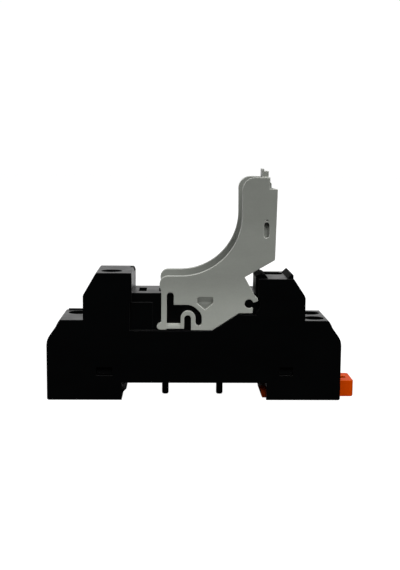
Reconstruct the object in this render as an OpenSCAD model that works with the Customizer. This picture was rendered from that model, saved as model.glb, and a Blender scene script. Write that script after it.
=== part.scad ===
// Slim relay socket for a 35 mm top-hat rail, with retaining and ejecting clip.
// X runs along the rail's width, Y is the socket's 16 mm width, Z is up.
// The socket stands on its two feet; the origin is under the middle of its length.

/* [Housing] */
// Width of the moulded housing, across the rail's length
body_w = 16; // [15.6:0.1:16.6]
// Length of the moulded housing
body_l = 72; // [71.8:0.1:72.2]
// Height of the two outer terminal steps
step_h = 19.85; // [19.6:0.05:20.1]
// Height of the left terminal tower
tower_l_h = 31.35; // [31.1:0.05:31.5]
// Height of the right terminal tower
tower_r_h = 30.05; // [29.9:0.05:30.2]
// Height of the block that the relay stands on
block_h = 26.35; // [26.2:0.05:26.45]
// Diameter of the screwdriver shafts
shaft_d = 5.2; // [5.0:0.1:5.4]

/* [Rail seat] */
// Height of the rail seat above the feet
seat_h = 4.3; // [4.2:0.05:4.5]
// Gap between the fixed hook and the seat
hook_gap = 1.28; // [1.15:0.01:1.4]
// Distance between the inner faces of the two feet
rail_gap = 35.6; // [35.4:0.1:35.8]

/* [Clip] */
// Thickness of the clip's two side plates
plate_t = 1.2; // [1.0:0.05:1.25]
// Diameter of the clip's snap-on bearing
clip_hole_d = 2.15; // [2.1:0.01:2.2]
// Diameter of the housing's pivot pins
pivot_d = 2.05; // [1.95:0.01:2.07]

/* [Rail slide] */
// Width of the release slide
slide_w = 8.4; // [8.0:0.1:8.6]
// Reach of the slide's pull tab beyond the housing
tab_l = 4; // [3:0.1:4]

/* [Terminals] */
// Diameter of the clamp screws' heads
head_d = 4.8; // [4.4:0.1:4.9]
// Outside diameter of the clamp screws' shanks
screw_d = 2.9; // [2.85:0.01:2.95]
// Bore of the clamp cages' threaded top
cage_bore_d = 3.0; // [2.98:0.01:3.05]
// Thickness of the contact strips
strip_t = 0.8; // [0.6:0.05:0.8]

/* [Hidden] */
$fn = 48;

hw = body_w / 2;          // half width of the socket
core = 6.6;               // half width of the middle block between the clip's plates
xl = -38;                 // left end face
xr = xl + body_l;         // right end face
foot_l = -19.77;          // inner face of the left foot
foot_r = foot_l + rail_gap;
hook_z = seat_h - hook_gap;
in_w = 6.8;               // half width of the room inside the side walls
px = 11.17;               // clip pivot
pz = 23.99;

// Terminals: middle of the screw, top of its shaft, side the wire comes from
T12 = [-22.35, -3.4, tower_l_h, -1];
T11 = [-31.15, 3.4, step_h, -1];
T14 = [18.1, 3.8, tower_r_h, 1];
TA1 = [27.55, -3.8, step_h, 1];
TA2 = [27.55, 3.8, step_h, 1];
// Middles of the relay's contact slots along X, and the coil slots
slot_x = [-14.8, -9.8, -4.8];
slot_y = -0.3;
coil_x = 10.4;
coil_y = 3.75;

black = [0.07, 0.07, 0.075];
grey = [0.47, 0.48, 0.455];
orange = [0.93, 0.36, 0.05];
zinc = [0.78, 0.78, 0.76];
brass = [0.80, 0.62, 0.30];

function arc(cx, cy, r, a0, a1, n) =
  [for (i = [0:n]) let (a = a0 + (a1 - a0) * i / n) [cx + r * cos(a), cy + r * sin(a)]];

// An outline in X and Z, given depth from y0 to y1
module prism(pts, y0, y1) {
  translate([0, y1, 0]) rotate([90, 0, 0]) linear_extrude(y1 - y0) polygon(pts);
}
module box(a, b) { translate(a) cube([b[0] - a[0], b[1] - a[1], b[2] - a[2]]); }
// A cylinder along Y, from y0 to y1
module ycyl(x, z, d, y0, y1) {
  translate([x, y1, z]) rotate([90, 0, 0]) cylinder(d = d, h = y1 - y0);
}
module both_sides() { children(); mirror([0, 1, 0]) children(); }

// The shoulder of each end face: upright, then a soft S-shaped bevel to the step
shoulder = [[0, 13.7], [0.12, 14.6], [0.42, 15.4], [0.9, 16.2], [1.65, 17.2],
  [2.3, 18.15], [2.6, 18.85], [3.05, 19.6]];

// Outline of the housing's sides, from the left foot round to the right foot
outline = concat(
  [[xl + 0.3, 0], [xl, 0.3]],
  [for (p = shoulder) [xl + p[0], p[1]]],
  [[xl + 3.3, step_h], [-29.1, step_h], [-29.1, 25.7], [-28.95, 26.1],
   [-26.0, tower_l_h - 0.15], [-25.75, tower_l_h],
   [-17.45, tower_l_h], [-17.3, tower_l_h - 0.15], [-17.3, block_h],
   [12.85, block_h], [12.85, tower_r_h],
   [21.95, tower_r_h], [22.15, tower_r_h - 0.12], [24.75, 26.0], [24.98, 25.4], [24.98, step_h],
   [xr - 3.3, step_h]],
  [for (i = [len(shoulder) - 1:-1:0]) [xr - shoulder[i][0], shoulder[i][1]]],
  [[xr, 0.3], [xr - 0.3, 0], [foot_r, 0], [foot_r, seat_h], [foot_l, seat_h],
   [foot_l - 0.05, hook_z], [foot_l + 1.2, hook_z], [foot_l + 1.2, hook_z - 0.15],
   [foot_l, 1.66], [foot_l, 0]]);

// Room for the clip's plates on each side of the middle block
plate_room = [[-17.8, 17.25], [2.31, 17.25], [8.6, 21.36], [10.2, 21.25], [13.0, 21.25],
  [13.0, 22.2], [13.55, 22.9], [13.55, 40], [-17.3, 40], [-17.3, 24.1], [-17.8, 24.1]];

module shaft(t) {
  translate([t[0], t[1], t[2] - 2.9]) cylinder(d = shaft_d, h = 20);
  translate([t[0], t[1], t[2] - 4.2]) cylinder(d = 3.4, h = 4);
}
// Chamber that guides a clamp cage, open below
module chamber(t, zlow) {
  box([t[0] - 2.95, t[1] - 3, zlow], [t[0] + 2.95, t[1] + 3, t[2] - 3.8]);
}
// Wire entry: a funnel in the end face and a straight bore into the chamber
module wire_entry(t, face, z, dmouth) {
  s = t[3];
  translate([face, t[1], z]) rotate([0, -90 * s, 0]) {
    translate([0, 0, -0.01]) cylinder(d1 = dmouth, d2 = 2.6, h = 1.4);
    cylinder(d = 2.6, h = abs(face - t[0]) - 2.5);
  }
}

module tulip_room(x, y0, y1) { box([x - 1.6, y0, 12], [x + 1.6, y1, block_h - 1.4]); }

module housing() color(black) {
  difference() {
    prism(outline, -hw, hw);
    // the right tower's left face steps back on the far side
    box([12.8, 1.8, block_h], [13.5, hw + 1, tower_r_h + 1]);
    // small notch in the left tower's far corner, and a pocket round the right tower's shaft
    box([-18.2, 4.2, tower_l_h - 0.7], [-17, 6.6, tower_l_h + 1]);
    box([15.35, 1.3, tower_r_h - 1.1], [19.9, 6.5, tower_r_h + 1]);
    // the clip's plates lie in these recesses
    both_sides() {
      prism(plate_room, core, hw + 1);
      ycyl(px, pz, 5.5, core, hw + 1);
      // notches for the clip's lifting lugs
      prism([[-2.1, 21.6], [3.5, 21.6], [3.5, 28], [-2.1, 28]], 5.35, core + 1);
    }
    // windows for the base's latches
    both_sides() {
      box([-26.0, 6, 6.1], [-22.0, hw + 1, 8.15]);
      box([18.9, 6, 6.2], [22.25, hw + 1, 8.25]);
    }
    // room for the latches' posts inside the windows
    box([-26.0, -in_w, 5], [-22.0, in_w, 8.15]);
    box([18.9, -in_w, 5], [22.25, in_w, 8.25]);
    // room for the base inside the side walls, and for the left foot
    box([xl + 1.2, -in_w, -1], [foot_l + 2, in_w, 7.6]);
    box([foot_l - 2, -in_w, -1], [xr - 1.1, in_w, 5.75]);
    // slide's way out through the right end wall
    box([xr - 2, -slide_w / 2 - 0.15, -1], [xr + 1, slide_w / 2 + 0.15, 4.3]);
    // common room for the contact strips
    box([-27.0, -core, 5], [24.0, core, 13.2]);
    // terminal chambers
    chamber(T12, 12);
    chamber(T11, 5);
    chamber(T14, 12);
    chamber(TA1, 5);
    chamber(TA2, 5);
    box([-29, 1.0, 5], [-26, 5.8, 13.2]);
    box([23, -5.8, 5], [26, -1.8, 13.2]);
    box([23, 1.8, 5], [26, 5.8, 13.2]);
    // screw shafts
    for (t = [T12, T11, T14, TA1, TA2]) shaft(t);
    // wire entries
    wire_entry(T12, -29.1, 22.15, 3.9);
    wire_entry(T11, xl, 10.6, 4.6);
    wire_entry(T14, 24.98, 21.15, 2.9);
    wire_entry(TA1, xr, 10.6, 4.6);
    wire_entry(TA2, xr, 10.6, 4.6);
    // rooms for the contacts
    tulip_room(slot_x[0], -4.4, 3.2);
    tulip_room(slot_x[1], -4.4, 3.2);
    tulip_room(slot_x[2], -4.4, 3.2);
    tulip_room(coil_x, coil_y - 1.9, coil_y + 1.9);
    tulip_room(coil_x, -coil_y - 1.9, -coil_y + 1.9);
    // way for the first contact's strip from its chamber
    box([-20, -5.2, 22.6], [-16.0, -1.6, 24.4]);
  box([-17.3, -5.2, 12], [-16.0, -1.6, 24.4]);
    // way for the third contact's strip down the right tower
    box([14.1, -1.2, 12], [15.6, 5.6, 23.4]);
    // contact slots and coil slots in the top of the block
    for (x = slot_x) box([x - 0.95, slot_y - 3.1, 24], [x + 0.95, slot_y + 3.1, block_h + 1]);
    for (s = [-1, 1]) box([coil_x - 0.6, s * coil_y - 1.2, 24], [coil_x + 0.6, s * coil_y + 1.2, block_h + 1]);
  }
  // raised panels on the block's sides, left of the clip
  both_sides() prism([[-17.9, 17.1], [-12.2, 17.1], [-12.2, 24.08], [-17.9, 24.08]], core - 0.1, core + 0.35);
  // rib down the left tower's far corner, its top sloping away
  prism([[-17.9, 24.3], [-16.92, 24.3], [-16.92, tower_l_h - 0.9], [-17.25, tower_l_h - 0.1], [-18.0, tower_l_h - 0.05]],
    core, hw);
  // the tower's end wall swells towards the rib
  translate([0, 0, 24.3]) linear_extrude(tower_l_h - 0.9 - 24.3) polygon([[-17.6, 3.4], [-17.3, 3.4], [-16.92, 6.4], [-16.92, 6.8], [-17.6, 6.8]]);
  // low rib along the left step's far edge, with a stop at its end
  box([-34.2, 7.3, step_h - 0.3], [-29.0, hw, step_h + 0.32]);
  box([-30.5, 7.3, step_h - 0.3], [-29.7, hw, step_h + 0.65]);
  // low peaked lug on the right tower's left corner
  intersection() {
    prism([[12.85, tower_r_h - 0.3], [15.9, tower_r_h - 0.3], [15.9, tower_r_h], [15.2, tower_r_h + 0.95],
      [14.3, tower_r_h + 1.3], [12.85, tower_r_h + 0.55]], -core, 3.0);
    prism_x([[-core, 25], [-core, tower_r_h + 0.95], [-core + 1.1, tower_r_h + 1.4], [1.8, tower_r_h + 1.4], [1.8, 25]], 12, 17);
  }
  // ridge on the right tower's right shoulder
  difference() {
    prism([[20.2, tower_r_h - 0.3], [20.2, tower_r_h], [21.45, tower_r_h + 1.2], [21.7, tower_r_h + 1.2],
      [21.92, tower_r_h + 0.95], [21.92, tower_r_h - 0.3]], -hw + 0.2, 5.0);
    shaft(T14);
  }
  // pivot pins
  both_sides() ycyl(px, pz, pivot_d, core - 0.2, hw - 0.05);
}

base_profile = [[xl + 1.35, 0], [foot_l, 0], [foot_l, 1.66], [foot_l + 1.2, hook_z - 0.15],
  [foot_l + 1.2, hook_z], [foot_l - 0.05, hook_z], [foot_l, seat_h], [foot_r, seat_h],
  [foot_r, 0], [xr - 1.25, 0], [xr - 1.25, 5.7], [foot_l - 1.45, 5.7], [foot_l - 1.45, 1.4],
  [xl + 1.35, 1.4]];

module base() color(black) {
  difference() {
    prism(base_profile, -in_w + 0.08, in_w - 0.08);
    // channel of the slide, open below, with a groove on each side
    box([foot_r - 1, -slide_w / 2 - 0.15, -1], [xr + 1, slide_w / 2 + 0.15, 4.25]);
    box([foot_r + 1.6, -slide_w / 2 - 0.85, 1.3], [xr + 1, slide_w / 2 + 0.85, 2.75]);
    // room for the slide's wide nose as it draws back
    box([foot_r - 1, -7, -1], [foot_r + 3.15, 7, hook_z + 0.25]);
  }
  // stop for the slide's spring
  box([27.4, -1.2, 1.9], [28.4, 1.2, 4.4]);
  // latches that snap into the housing's windows
  both_sides() {
    prism_x([[5.6, 1.2], [6.72, 1.2], [6.72, 6.3], [7.55, 6.3], [6.72, 7.9], [5.6, 7.9]], -25.8, -22.2);
    prism_x([[5.6, 5.0], [6.72, 5.0], [6.72, 6.4], [7.55, 6.4], [6.72, 8.0], [5.6, 8.0]], 19.1, 22.05);
  }
  // locating pegs under the seat
  for (x = [-9.1, 4.4]) {
    translate([x, -3.6, 1.1]) cylinder(d = 1.65, h = 4);
    translate([x, -3.6, 1.1]) intersection() {
      sphere(d = 1.65);
      translate([-2, -2, -0.45]) cube([4, 4, 1]);
    }
  }
}
// An outline in Y and Z, given length from x0 to x1
module prism_x(pts, x0, x1) {
  translate([x0, 0, 0]) rotate([90, 0, 90]) linear_extrude(x1 - x0) polygon(pts);
}

// Outline of one side plate of the clip
clip_outline = concat(
  arc(12.25, 51.5, 3, 180, 90, 12),
  [[15.5, 54.5], [15.68, 54.3], [15.72, 51.77], [17.6, 51.77], [17.7, 51.6],
   [17.35, 34.9], [17.2, 34.6], [10.08, 30.5], [12.62, 25.95]],
  arc(12.82, 25.0, 0.55, 50, -70, 8),
  [[12.1, 24.2], [px, pz], [11.66, 23.15], [12.0, 23.05], [12.12, 22.8], [12.12, 21.85], [11.95, 21.65],
   [8.75, 21.65], [2.26, 17.4], [-2.88, 17.4]],
  arc(-3.71, 20.26, 0.83, 0, 180, 12),
  [[-4.54, 17.76], [-8.78, 17.76], [-8.9, 17.5]],
  arc(-10.35, 18.3, 0.8, 270, 110, 8),
  [[-10.12, 19.4], [-10.09, 26.7], [-10.5, 27.9]],
  arc(-8.5, 28.65, 2.05, 180, 90, 8),
  [[-5.5, 30.7]],
  arc(-5.5, 45.5, 14.8, -88, 0, 32));

// Window that leaves the clip's spring leg and arch standing
clip_window = concat(
  [[-8.78, 18.98], [-8.78, 25.88]],
  arc(-7.935, 25.88, 0.845, 180, 0, 8),
  [[-7.09, 23.64], [-3.6, 23.64], [-2.41, 23.3], [-1.5, 22.65], [-0.65, 21.75], [-0.3, 20.9], [-0.26, 20.2]],
  arc(-1.02, 19.28, 0.76, 0, -180, 8),
  [[-1.78, 20.35]],
  arc(-3.6, 20.38, 1.8, 0, 180, 14),
  [[-5.4, 18.98]]);

pentagon = [[-0.92, 25.6], [2.42, 25.6], [2.42, 24.0], [0.5, 22.4], [-1.42, 24.0], [-1.42, 25.2]];
lug = [[-1.3, 26.1], [2.9, 26.1], [2.9, 23.75], [0.5, 21.75], [-1.9, 23.75], [-1.9, 25.4]];

module clip_plate() {
  y1 = hw - 0.05;
  y0 = y1 - plate_t;
  difference() {
    union() {
      prism(clip_outline, y0, y1);
      prism(lug, y0 - 1.1, y0 + 0.2);
    }
    ycyl(px, pz, clip_hole_d, y0 - 1, y1 + 1);
    prism(clip_window, y0 - 1, y1 + 1);
    // hollow back of the lifting lug, with a sloping upper wall
    intersection() {
      prism(pentagon, y1 - 0.95, y1 + 1);
      prism_x([[y1 - 0.88, 22.2], [y1 - 0.88, 21], [y1 + 1, 21], [y1 + 1, 26.5], [y1, 25.62], [y1 - 0.55, 24.3]], -3, 4);
    }
    // the foot bar's upper edge is rounded off
    prism_x([[y1 - 0.42, 19.2], [y1 - 0.42, 18.98], [y1 - 0.14, 18.55], [y1 + 0.01, 17.6], [y1 + 1, 17.6], [y1 + 1, 19.2]], -8.78, -5.4);
    // round-ended slot beside the relay hook
    prism(concat(arc(15.175, 43.13, 0.62, 0, 180, 8), arc(15.175, 40.6, 0.62, 180, 360, 8)), y0 - 1, y1 + 1);
    prism([[14.8, 44.15], [15.55, 44.15], [15.4, 44.4], [14.95, 44.4]], y1 - 0.4, y1 + 1);
  }
}

module retaining_clip() color(grey) {
  y0 = hw - 0.05 - plate_t;
  both_sides() clip_plate();
  // back wall and its top flange
  prism([[15.9, 36.2], [17.2, 36.2], [17.45, 51.7], [16.3, 51.7], [16.25, 53.1], [15.95, 53.4], [15.95, 54.5],
    [14.4, 54.5], [14.4, 53.3], [15.2, 53.3], [15.2, 51.2], [15.9, 51.2]], -y0 - 0.1, y0 + 0.1);
  // hook over the relay's top edge
  prism([[16.1, 44.6], [16.1, 39.5], [14.3, 39.5], [14.3, 42.2], [11.8, 42.2], [11.8, 42.6], [13.4, 43.9]], -y0 - 0.1, y0 + 0.1);
  // finger tab with its marker stop
  box([14.4, -2.6, 54.3], [15.95, 2.6, 55.95]);
  box([14.4, -2.6, 54.3], [14.82, 2.6, 56.5]);
}

nose_x = foot_r - 1.62;
// Outline of the nose that holds the rail, ramped below
nose = [[nose_x, hook_z + 0.03], [nose_x, 2.62], [nose_x + 0.47, 2.13], [nose_x + 0.52, 1.16], [nose_x + 0.64, 0.35],
  [nose_x + 0.85, 0.06], [foot_r + 0.4, 0.06], [foot_r + 0.4, hook_z + 0.03]];
module rail_slide() color(orange) {
  w = slide_w / 2;
  xt = xr + tab_l;
  difference() {
    union() {
      prism(nose, -5.7, 5.7);
      // body and pull tab, its corners rounded
      intersection() {
        prism([[foot_r - 0.4, 0.2], [xr + 0.2, 0.2], [xr + 0.4, 0.05],
          [xt - 0.45, 0.05], [xt - 0.13, 0.17], [xt, 0.5], [xt, 3.9], [xt - 0.06, 4.04], [xt - 0.2, 4.1],
          [foot_r + 0.3, 4.1], [foot_r + 0.3, hook_z], [foot_r - 0.4, hook_z]], -w, w);
        linear_extrude(6) polygon(concat([[foot_r - 1, -w]], arc(xt - 0.9, 0.9 - w, 0.9, -90, 0, 8),
          arc(xt - 0.9, w - 0.9, 0.9, 0, 90, 8), [[foot_r - 1, w]]));
      }
      // guide ribs
      box([foot_r + 1.9, -w - 0.65, 1.45], [xr - 3.9, w + 0.65, 2.6]);
    }
    // spring pocket, open above
    box([20.0, -1.45, 1.5], [28.45, 1.45, 5]);
    // round-ended hole for a screwdriver's tip
    box([xr - 0.6, -1.5, 1.8], [xr + 1.45, 0.9, 5]);
    translate([xr + 1.45, -0.3, 1.8]) cylinder(d = 2.4, h = 4);
  }
}

// Coil spring along X, each turn two half rings that lean opposite ways, joined by small balls
spring_x0 = 20.08;
spring_x1 = 27.32;
spring_r = 0.98;
wire_d = 0.34;
spring_turns = 7;
module slide_spring() color(zinc) {
  p = (spring_x1 - spring_x0 - wire_d) / spring_turns / 2;
  lean = atan(p / (2 * spring_r));
  rr = sqrt(spring_r * spring_r + p * p / 4);
  for (i = [0:2 * spring_turns - 1]) {
    s = i % 2 == 0 ? 1 : -1;
    translate([spring_x0 + wire_d / 2 + (i + 0.5) * p, 0, 2.86])
      rotate([0, s * -lean, 0]) rotate([0, 90, 0]) rotate([0, 0, s > 0 ? 2 : 182])
        rotate_extrude(angle = 176, $fn = 32) translate([rr, 0]) circle(d = wire_d, $fn = 16);
  }
  for (i = [0:2 * spring_turns]) {
    translate([spring_x0 + wire_d / 2 + i * p, 0, 2.86 + (i % 2 == 0 ? spring_r : -spring_r)])
      sphere(d = 0.4, $fn = 16);
  }
}

// Terminal screw: recessed cross head with a slot, shank down to the contact strip
module screw(t) color(zinc) {
  z = t[2] - 1.2;
  difference() {
    union() {
      translate([t[0], t[1], z - 1.7]) cylinder(d = head_d, h = 1.45);
      translate([t[0], t[1], z - 0.25]) cylinder(d1 = head_d, d2 = head_d - 0.5, h = 0.25);
      translate([t[0], t[1], t[2] - 7.15]) cylinder(d = screw_d, h = 4.4);
    }
    translate([t[0], t[1], z - 0.9]) {
      translate([-2.6, -0.4, 0]) cube([5.2, 0.8, 2]);
      translate([-0.45, -1.5, 0]) cube([0.9, 3.0, 2]);
    }
  }
}

// Rising clamp: a square frame open along X, with a threaded top
module clamp(t) color(zinc) {
  zt = t[2] - 5.9;
  difference() {
    box([t[0] - 2.7, t[1] - 2.75, zt - 5.6], [t[0] + 2.7, t[1] + 2.75, zt]);
    box([t[0] - 3, t[1] - 1.95, zt - 4.6], [t[0] + 3, t[1] + 1.95, zt - 1.2]);
    translate([t[0], t[1], zt - 1.4]) cylinder(d = cage_bore_d, h = 2);
    // grip teeth on the lower jaw
    for (i = [-1, 0, 1]) translate([t[0] + i * 1.5, t[1] - 3, zt - 4.6]) rotate([-90, 0, 0])
      linear_extrude(6) polygon([[-0.25, -0.01], [0.25, -0.01], [0, 0.2]]);
  }
}
// Height of a strip's top inside its clamp
function strip_z(t) = t[2] - 7.2;

// Two spring leaves that grip a relay blade
module tulip(x, y0, y1, zlow) {
  h = 24.75;
  for (s = [-1, 1]) prism([[x + s * 1.15, zlow], [x + s * 1.15, h - 3.6], [x + s * 0.42, h - 1.3],
    [x + s * 0.95, h], [x + s * 0.62, h + 0.1], [x + s * 0.05, h - 1.3], [x + s * 0.7, h - 3.8], [x + s * 0.7, zlow]], y0, y1);
  box([x - 1.15, y0, zlow - 0.6], [x + 1.15, y1, zlow + 0.2]);
}

module contact_12() color(brass) {
  z = strip_z(T12);
  box([T12[0] - 2.6, T12[1] - 1.5, z - strip_t], [slot_x[0] - 1.4, T12[1] + 1.5, z]);
  box([slot_x[0] - 2.2, T12[1] - 1.5, 14.9], [slot_x[0] - 1.4, T12[1] + 1.5, z]);
  box([slot_x[0] - 2.2, T12[1] - 0.5, 14.9], [slot_x[0] + 1.15, T12[1] + 1.5, 15.7]);
  tulip(slot_x[0], -3.9, 2.7, 15.5);
}
module contact_11() color(brass) {
  z = strip_z(T11);
  box([T11[0] - 2.6, T11[1] - 1.5, z - strip_t], [slot_x[1] + 1.15, T11[1] + 1.5, z]);
  box([slot_x[1] - 1.15, -1.0, z - strip_t], [slot_x[1] + 1.15, T11[1] + 1.5, z]);
  box([slot_x[1] - 1.15, -1.0, z - 0.1], [slot_x[1] - 0.7, 1.9, 15.2]);
  tulip(slot_x[1], -3.9, 2.7, 15.5);
}
module contact_14() color(brass) {
  z = strip_z(T14);
  box([14.3, T14[1] - 1.5, z - strip_t], [T14[0] + 2.6, T14[1] + 1.5, z]);
  box([14.3, -0.8, 13.9], [15.1, T14[1] + 1.5, z]);
  box([14.3, -0.8, 8.9], [15.1, 0.8, 14.2]);
  box([slot_x[2] - 1.15, -0.8, 8.9], [15.1, 0.8, 9.7]);
  box([slot_x[2] - 1.15, -0.8, 8.9], [slot_x[2] - 0.7, 0.8, 15.2]);
  tulip(slot_x[2], -3.9, 2.7, 15.5);
}
module coil_contact(t) {
  z = strip_z(t);
  box([coil_x - 1.15, t[1] - 1.4, z - strip_t], [t[0] + 2.6, t[1] + 1.4, z]);
  box([coil_x - 1.15, t[1] - 1.4, z - 0.1], [coil_x - 0.7, t[1] + 1.4, 15.2]);
  tulip(coil_x, t[1] - 1.4, t[1] + 1.4, 15.5);
}
module contact_a1() color(brass) coil_contact(TA1);
module contact_a2() color(brass) coil_contact(TA2);

module screw_12() screw(T12);
module screw_11() screw(T11);
module screw_14() screw(T14);
module screw_a1() screw(TA1);
module screw_a2() screw(TA2);
module clamp_12() clamp(T12);
module clamp_11() clamp(T11);
module clamp_14() clamp(T14);
module clamp_a1() clamp(TA1);
module clamp_a2() clamp(TA2);

housing();
base();
retaining_clip();
rail_slide();
slide_spring();
screw_12();
screw_11();
screw_14();
screw_a1();
screw_a2();
clamp_12();
clamp_11();
clamp_14();
clamp_a1();
clamp_a2();
contact_12();
contact_11();
contact_14();
contact_a1();
contact_a2();
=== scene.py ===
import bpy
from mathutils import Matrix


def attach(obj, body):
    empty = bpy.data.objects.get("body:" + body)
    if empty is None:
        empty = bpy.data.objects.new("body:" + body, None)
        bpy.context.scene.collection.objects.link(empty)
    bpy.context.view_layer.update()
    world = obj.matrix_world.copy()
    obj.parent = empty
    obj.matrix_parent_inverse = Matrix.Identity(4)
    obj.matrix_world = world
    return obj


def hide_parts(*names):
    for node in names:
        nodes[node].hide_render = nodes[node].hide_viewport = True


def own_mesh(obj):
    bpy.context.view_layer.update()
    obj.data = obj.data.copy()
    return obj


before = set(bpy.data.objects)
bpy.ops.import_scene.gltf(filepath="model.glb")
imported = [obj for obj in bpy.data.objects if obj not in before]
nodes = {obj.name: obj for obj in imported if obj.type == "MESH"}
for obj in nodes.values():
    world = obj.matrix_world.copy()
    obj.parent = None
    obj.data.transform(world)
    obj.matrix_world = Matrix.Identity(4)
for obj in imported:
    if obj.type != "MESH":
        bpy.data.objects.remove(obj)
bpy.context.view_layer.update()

import math

import bmesh
import bpy
from mathutils import Matrix, Vector

scene = bpy.context.scene
MM = 0.001

# ---------------------------------------------------------------- camera

def make_camera():
    yaw, pitch, roll = math.radians(1.536), math.radians(7.783), math.radians(0.486)
    d = Vector((math.sin(yaw) * math.cos(pitch), math.cos(yaw) * math.cos(pitch), -math.sin(pitch)))
    r = Vector((math.cos(yaw), -math.sin(yaw), 0.0))
    u = r.cross(d)
    r2 = r * math.cos(roll) + u * math.sin(roll)
    u2 = u * math.cos(roll) - r * math.sin(roll)
    m = Matrix((r2, u2, -d)).transposed().to_4x4()
    m.translation = Vector((-6.856, -235.175, 59.614)) * MM
    cam = bpy.data.cameras.new("camera")
    cam.sensor_fit = "AUTO"
    cam.sensor_width = 36.0
    cam.lens = 948.3 * 36.0 / 570.0
    cam.clip_start = 0.005
    cam.clip_end = 20.0
    ob = bpy.data.objects.new("camera", cam)
    ob.matrix_world = m
    scene.collection.objects.link(ob)
    scene.camera = ob
    bpy.context.scene.camera = ob
    return ob

make_camera()
scene.view_settings.view_transform = "Standard"
scene.view_settings.look = "None"

# ---------------------------------------------------------------- materials

class Nodes:
    """A small helper that builds a material's node tree."""

    def __init__(self, name):
        self.mat = bpy.data.materials.new(name)
        self.mat.use_nodes = True
        self.t = self.mat.node_tree
        self.t.nodes.clear()
        self.out = self.t.nodes.new("ShaderNodeOutputMaterial")
        self.bsdf = self.t.nodes.new("ShaderNodeBsdfPrincipled")
        self.t.links.new(self.bsdf.outputs[0], self.out.inputs["Surface"])
        self.coord = self.t.nodes.new("ShaderNodeTexCoord")

    def node(self, kind, **props):
        n = self.t.nodes.new(kind)
        for k, v in props.items():
            setattr(n, k, v)
        return n

    def link(self, a, b):
        self.t.links.new(a, b)

    def noise(self, scale, detail=2.0, rough=0.5, stretch=None):
        n = self.node("ShaderNodeTexNoise")
        n.inputs["Scale"].default_value = scale
        n.inputs["Detail"].default_value = detail
        n.inputs["Roughness"].default_value = rough
        if stretch:
            m = self.node("ShaderNodeMapping")
            m.inputs["Scale"].default_value = stretch
            self.link(self.coord.outputs["Object"], m.inputs["Vector"])
            self.link(m.outputs[0], n.inputs["Vector"])
        else:
            self.link(self.coord.outputs["Object"], n.inputs["Vector"])
        return n.outputs["Fac"]

    def ramp(self, fac, stops):
        n = self.node("ShaderNodeValToRGB")
        els = n.color_ramp.elements
        els[0].position, els[0].color = stops[0][0], (*stops[0][1], 1)
        els[1].position, els[1].color = stops[-1][0], (*stops[-1][1], 1)
        for p, c in stops[1:-1]:
            e = els.new(p)
            e.color = (*c, 1)
        self.link(fac, n.inputs["Fac"])
        return n.outputs["Color"]

    def mapr(self, fac, a, b, c, d):
        n = self.node("ShaderNodeMapRange")
        n.inputs["From Min"].default_value = a
        n.inputs["From Max"].default_value = b
        n.inputs["To Min"].default_value = c
        n.inputs["To Max"].default_value = d
        self.link(fac, n.inputs["Value"])
        return n.outputs["Result"]

    def math(self, op, a, b):
        n = self.node("ShaderNodeMath", operation=op)
        for i, v in enumerate((a, b)):
            if isinstance(v, (int, float)):
                n.inputs[i].default_value = v
            else:
                self.link(v, n.inputs[i])
        return n.outputs[0]

    def mix(self, fac, a, b, blend="MIX"):
        n = self.node("ShaderNodeMix", data_type="RGBA", blend_type=blend)
        for i, v in ((0, fac), (6, a), (7, b)):
            if isinstance(v, (int, float)):
                n.inputs[i].default_value = v
            elif isinstance(v, tuple):
                n.inputs[i].default_value = (*v, 1)
            else:
                self.link(v, n.inputs[i])
        return n.outputs[2]

    def edge(self, radius, lo=0.985, hi=0.90):
        """1 on sharp edges, 0 on flats, from a bevelled normal against the true one; edges facing up weigh more, for a
        painted edge highlight.
        """
        bev = self.node("ShaderNodeBevel", samples=6)
        bev.inputs["Radius"].default_value = radius
        geo = self.node("ShaderNodeNewGeometry")
        dot = self.node("ShaderNodeVectorMath", operation="DOT_PRODUCT")
        self.link(bev.outputs[0], dot.inputs[0])
        self.link(geo.outputs["True Normal"], dot.inputs[1])
        up = self.node("ShaderNodeSeparateXYZ")
        self.link(bev.outputs[0], up.inputs[0])
        facing = self.mapr(up.outputs["Z"], -0.1, 0.45, 0.3, 1.0)
        return self.math("MULTIPLY", self.mapr(dot.outputs["Value"], lo, hi, 0.0, 1.0), facing)

    def bump(self, height, strength, distance, bevel=None):
        b = self.node("ShaderNodeBump")
        b.inputs["Strength"].default_value = strength
        b.inputs["Distance"].default_value = distance
        self.link(height, b.inputs["Height"])
        if bevel:
            bev = self.node("ShaderNodeBevel", samples=6)
            bev.inputs["Radius"].default_value = bevel
            self.link(bev.outputs[0], b.inputs["Normal"])
        self.link(b.outputs[0], self.bsdf.inputs["Normal"])


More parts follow.
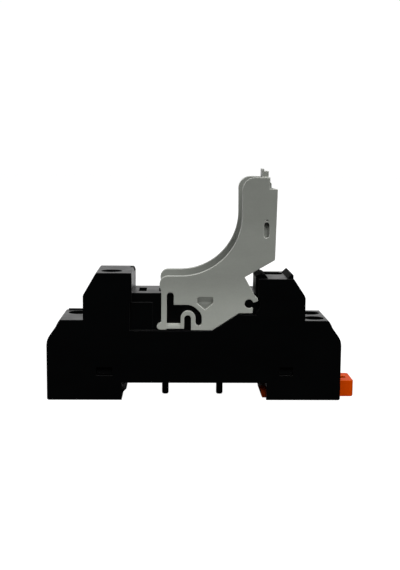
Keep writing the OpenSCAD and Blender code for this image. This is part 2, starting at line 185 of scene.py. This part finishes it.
def moulded(name, dark, light, rough, spec=0.5, bevel=0.12 * MM, grain=0.35, edge_highlight_col=None, edge_highlight_amt=0.5, coat=0.0, painted_height_shade=None, painted_nose_shade=None, painted_recess_shade=None, dull=None):
    """Injection-moulded plastic: spark-eroded grain, faint flow marks, and painted highlights on the edges, strongest
    on edges that face up.
    """
    m = Nodes(name)
    flow = m.noise(60.0, 3.0, 0.55, (1.0, 1.6, 2.4))
    speck = m.noise(2600.0, 2.0, 0.6)
    blend = m.math("ADD", m.math("MULTIPLY", flow, 0.75), m.math("MULTIPLY", speck, 0.25))
    col = m.ramp(blend, [(0.34, dark), (0.66, light)])
    if painted_height_shade:
        # painted light and shade: the colour is lighter towards the lower edge of the part and darker towards its top,
        # standing in for how the light falls on it
        h = m.node("ShaderNodeSeparateXYZ")
        m.link(m.coord.outputs["Object"], h.inputs[0])
        fade = m.math("ADD", m.mapr(h.outputs["Z"], 0.018, 0.055, *painted_height_shade), m.mapr(h.outputs["Z"], 0.019, 0.030, 0.44, 0.0))
        shade = m.node("ShaderNodeCombineColor")
        for k in range(3):
            m.link(fade, shade.inputs[k])
        col = m.mix(1.0, col, shade.outputs[0], "MULTIPLY")
    if painted_recess_shade:
        # painted shade: the colour is darkened in the low pockets found by ambient occlusion, only below about 30 mm
        # of height
        ao = m.node("ShaderNodeAmbientOcclusion", samples=8, only_local=True)
        ao.inputs["Distance"].default_value = 1.5 * MM
        deep = m.node("ShaderNodeCombineColor")
        level = m.node("ShaderNodeSeparateXYZ")
        m.link(m.coord.outputs["Object"], level.inputs[0])
        painted_pocket_shade = m.math("MAXIMUM", m.mapr(ao.outputs["AO"], 0.74, 0.95, painted_recess_shade, 1.0),
                      m.mapr(level.outputs["Z"], 0.030, 0.034, 0.0, 1.0))
        for k in range(3):
            m.link(painted_pocket_shade, deep.inputs[k])
        col = m.mix(1.0, col, deep.outputs[0], "MULTIPLY")
    if painted_nose_shade:
        # painted shade: the end that works against the rail, which lies in shadow under the housing, is darkened
        # towards near black
        where = m.node("ShaderNodeSeparateXYZ")
        m.link(m.coord.outputs["Object"], where.inputs[0])
        col = m.mix(m.mapr(where.outputs["X"], *painted_nose_shade, 0.72, 0.0), col, (0.004, 0.003, 0.002))
    # painted highlight: edges are lightened towards the edge colour, more where they face up, as if catching light
    # from above
    if edge_highlight_col:
        e = m.math("MULTIPLY", m.edge(bevel * 1.15), edge_highlight_amt)
        col = m.mix(e, col, edge_highlight_col)
    m.link(col, m.bsdf.inputs["Base Color"])
    ro = m.mapr(m.noise(240.0, 4.0, 0.6), 0.3, 0.7, rough - 0.05, rough + 0.06)
    if dull:
        # the ribs on the tower's top are duller than its flats
        at = m.node("ShaderNodeSeparateXYZ")
        m.link(m.coord.outputs["Object"], at.inputs[0])
        rib = m.math("MULTIPLY", m.mapr(at.outputs["X"], dull[0], dull[0] + 0.0005, 0.0, 1.0),
                     m.mapr(at.outputs["Z"], dull[1], dull[1] + 0.0001, 0.0, 0.6))
        ro = m.math("ADD", ro, rib)
    m.link(ro, m.bsdf.inputs["Roughness"])
    m.bsdf.inputs["Specular IOR Level"].default_value = spec
    if coat:
        m.bsdf.inputs["Coat Weight"].default_value = coat
        m.bsdf.inputs["Coat Roughness"].default_value = 0.2
    h = m.math("ADD", m.math("MULTIPLY", m.noise(5200.0, 3.0, 0.65), 0.6), m.math("MULTIPLY", m.noise(1500.0, 2.0, 0.5), 0.4))
    m.bump(h, grain, 0.02 * MM, bevel)
    return m.mat


def metal(name, dark, light, rough, stretch, bevel=0.06 * MM, scratch=0.4):
    """Plated or rolled metal with fine directional scratches and dull patches."""
    m = Nodes(name)
    patch = m.noise(420.0, 4.0, 0.6)
    lines = m.noise(900.0, 3.0, 0.6, stretch)
    col = m.ramp(m.math("ADD", m.math("MULTIPLY", patch, 0.6), m.math("MULTIPLY", lines, 0.4)), [(0.35, dark), (0.65, light)])
    m.link(col, m.bsdf.inputs["Base Color"])
    m.bsdf.inputs["Metallic"].default_value = 1.0
    m.link(m.mapr(patch, 0.3, 0.7, rough - 0.07, rough + 0.1), m.bsdf.inputs["Roughness"])
    m.bump(lines, scratch, 0.015 * MM, bevel)
    return m.mat


black = moulded("black_plastic_moulded", (0.0005, 0.0006, 0.0007), (0.0010, 0.0012, 0.0013), 0.36, spec=0.45,
                bevel=0.16 * MM, grain=0.25, edge_highlight_col=(0.02, 0.02, 0.02), edge_highlight_amt=0.6, dull=(0.006, 0.03020))
grey = moulded("grey_plastic_moulded", (0.252, 0.263, 0.238), (0.290, 0.302, 0.274), 0.42, spec=0.45,
               bevel=0.24 * MM, grain=0.25, edge_highlight_col=(0.80, 0.81, 0.75), edge_highlight_amt=0.85, painted_height_shade=(1.10, 0.85), painted_recess_shade=0.66)
orange = moulded("orange_plastic_moulded", (0.62, 0.056, 0.0), (0.74, 0.074, 0.0), 0.42, spec=0.04,
                 bevel=0.2 * MM, grain=0.25, edge_highlight_col=(0.85, 0.20, 0.02), edge_highlight_amt=0.6, painted_nose_shade=(0.0215, 0.0235))
zinc = metal("zinc_plated_steel", (0.50, 0.50, 0.49), (0.72, 0.72, 0.70), 0.32, (1.0, 8.0, 1.0))
brass = metal("rolled_brass", (0.52, 0.36, 0.13), (0.72, 0.52, 0.22), 0.30, (0.4, 6.0, 1.0))
steel = metal("spring_steel", (0.36, 0.36, 0.37), (0.56, 0.56, 0.57), 0.28, (1.0, 1.0, 1.0))


def dress(node, mat):
    ob = nodes[node]
    for s in ob.material_slots:
        s.material = mat
    if not ob.material_slots:
        ob.data.materials.append(mat)

dress("housing", black)
dress("base", black)
dress("retaining_clip", grey)
dress("rail_slide", orange)
dress("slide_spring", steel)
for t in ("12", "11", "14", "a1", "a2"):
    dress("screw_" + t, zinc)
    dress("clamp_" + t, zinc)
    dress("contact_" + t, brass)

# ---------------------------------------------------------------- the slide's spring

def wound_spring():
    """A closed-end coil of round wire along X, with its closing turns laid close at both ends."""
    x0, x1, r, wire, turns = 20.10, 27.30, 0.98, 0.34, 8.0
    steps, ring = 26, 14
    n = int(turns * steps)
    path = []
    for i in range(n + 1):
        u = i / n
        # the first and last turns lie close, the ones between share the rest
        closed = 1.0 / turns
        a = wire * 1.08
        span = (x1 - x0 - wire) - 2 * a
        if u < closed:
            x = a * u / closed
        elif u > 1 - closed:
            x = a + span + a * (u - 1 + closed) / closed
        else:
            x = a + span * (u - closed) / (1 - 2 * closed)
        th = 2 * math.pi * turns * u
        path.append(Vector((x0 + wire / 2 + x, r * math.sin(th), 2.86 + r * math.cos(th))))
    bm = bmesh.new()
    rings = []
    for i, p in enumerate(path):
        t = (path[min(i + 1, n)] - path[max(i - 1, 0)]).normalized()
        out = Vector((0, p.y, p.z - 2.86)).normalized()
        out = (out - t * out.dot(t)).normalized()
        side = t.cross(out)
        rings.append([bm.verts.new((p + (out * math.cos(2 * math.pi * k / ring) + side * math.sin(2 * math.pi * k / ring))
                                    * wire / 2) * MM) for k in range(ring)])
    for a, b in zip(rings, rings[1:]):
        for k in range(ring):
            bm.faces.new((a[k], a[(k + 1) % ring], b[(k + 1) % ring], b[k])).smooth = True
    for r_, flip in ((rings[0], True), (rings[-1], False)):
        bm.faces.new(list(reversed(r_)) if flip else r_)
    bmesh.ops.recalc_face_normals(bm, faces=bm.faces)
    me = bpy.data.meshes.new("wound_spring")
    bm.to_mesh(me)
    bm.free()
    me.materials.append(steel)
    ob = bpy.data.objects.new("wound_spring", me)
    scene.collection.objects.link(ob)
    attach(ob, "socket")
    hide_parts("slide_spring")
    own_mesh(ob)
    return ob

wound_spring()

# ---------------------------------------------------------------- stage and light

def card(name, size, loc, rot, colour, strength=None, glossy=True, diffuse=True):
    """A flat card: a pale surface, or a plain glowing one when it has a strength."""
    me = bpy.data.meshes.new(name)
    w, h = size[0] / 2, size[1] / 2
    me.from_pydata([(-w, -h, 0), (w, -h, 0), (w, h, 0), (-w, h, 0)], [], [(0, 1, 2, 3)])
    ob = bpy.data.objects.new(name, me)
    ob.location = loc
    ob.rotation_euler = rot
    m = bpy.data.materials.new(name)
    m.use_nodes = True
    b = m.node_tree.nodes["Principled BSDF"]
    b.inputs["Base Color"].default_value = (*colour, 1)
    b.inputs["Roughness"].default_value = 0.9
    b.inputs["Specular IOR Level"].default_value = 0.1
    if strength:
        b.inputs["Emission Color"].default_value = (*colour, 1)
        b.inputs["Emission Strength"].default_value = strength
    me.materials.append(m)
    scene.collection.objects.link(ob)
    ob.visible_glossy = glossy
    ob.visible_diffuse = diffuse
    return ob


def area(name, size, loc, target, power, glossy=True):
    light = bpy.data.lights.new(name, "AREA")
    light.shape = "RECTANGLE"
    light.size, light.size_y = size
    light.energy = power
    ob = bpy.data.objects.new(name, light)
    ob.location = loc
    d = Vector(target) - Vector(loc)
    ob.rotation_euler = d.to_track_quat("-Z", "Y").to_euler()
    ob.visible_camera = False
    ob.visible_glossy = glossy
    scene.collection.objects.link(ob)
    return ob

floor = card("floor", (6, 6), (0, 0, 0), (0, 0, 0), (1.0, 1.0, 1.0), strength=0.995, glossy=False, diffuse=False)
floor.data.materials[0].node_tree.nodes["Principled BSDF"].inputs["Base Color"].default_value = (0.16, 0.16, 0.16, 1)


def cyclorama():
    """A plain white surround that only the camera sees."""
    bm = bmesh.new()
    bmesh.ops.create_uvsphere(bm, u_segments=48, v_segments=24, radius=2.8)
    me = bpy.data.meshes.new("cyclorama")
    bm.to_mesh(me)
    bm.free()
    ob = bpy.data.objects.new("cyclorama", me)
    m = bpy.data.materials.new("cyclorama")
    m.use_nodes = True
    t = m.node_tree
    t.nodes.clear()
    e = t.nodes.new("ShaderNodeEmission")
    e.inputs["Color"].default_value = (1, 1, 1, 1)
    e.inputs["Strength"].default_value = 1.02
    o = t.nodes.new("ShaderNodeOutputMaterial")
    t.links.new(e.outputs[0], o.inputs["Surface"])
    me.materials.append(m)
    scene.collection.objects.link(ob)
    ob.visible_diffuse = ob.visible_glossy = ob.visible_transmission = ob.visible_shadow = False

cyclorama()
# the pale table behind the socket, as its upright faces mirror it
card("table_behind", (3.0, 1.6), (0, 0.83, -0.002), (0, 0, 0), (1.0, 1.0, 1.0), strength=0.6, diffuse=False)

world = bpy.data.worlds.new("studio")
scene.world = world
world.use_nodes = True
bg = world.node_tree.nodes["Background"]
bg.inputs["Color"].default_value = (1.0, 1.0, 1.0, 1)
bg.inputs["Strength"].default_value = 0.02

area("softbox_top", (0.9, 0.9), (0.0, 0.15, 0.95), (0, 0, 0.03), 4.5)
area("softbox_back", (2.2, 0.9), (-0.2, 1.3, 0.40), (0, 0, 0.03), 4.7)
area("softbox_front", (0.55, 0.35), (0.30, -0.56, 0.68), (0, 0, 0.03), 6.6, glossy=False)
area("softbox_fill", (0.5, 0.3), (-0.35, -0.60, 0.64), (0, 0, 0.03), 2.3, glossy=False)
area("softbox_low", (0.16, 0.10), (0.09, -0.20, 0.035), (0.01, 0, 0.02), 0.012, glossy=False)
area("softbox_left", (0.5, 0.6), (-0.9, 0.05, 0.40), (0, 0, 0.04), 1.6, glossy=False)
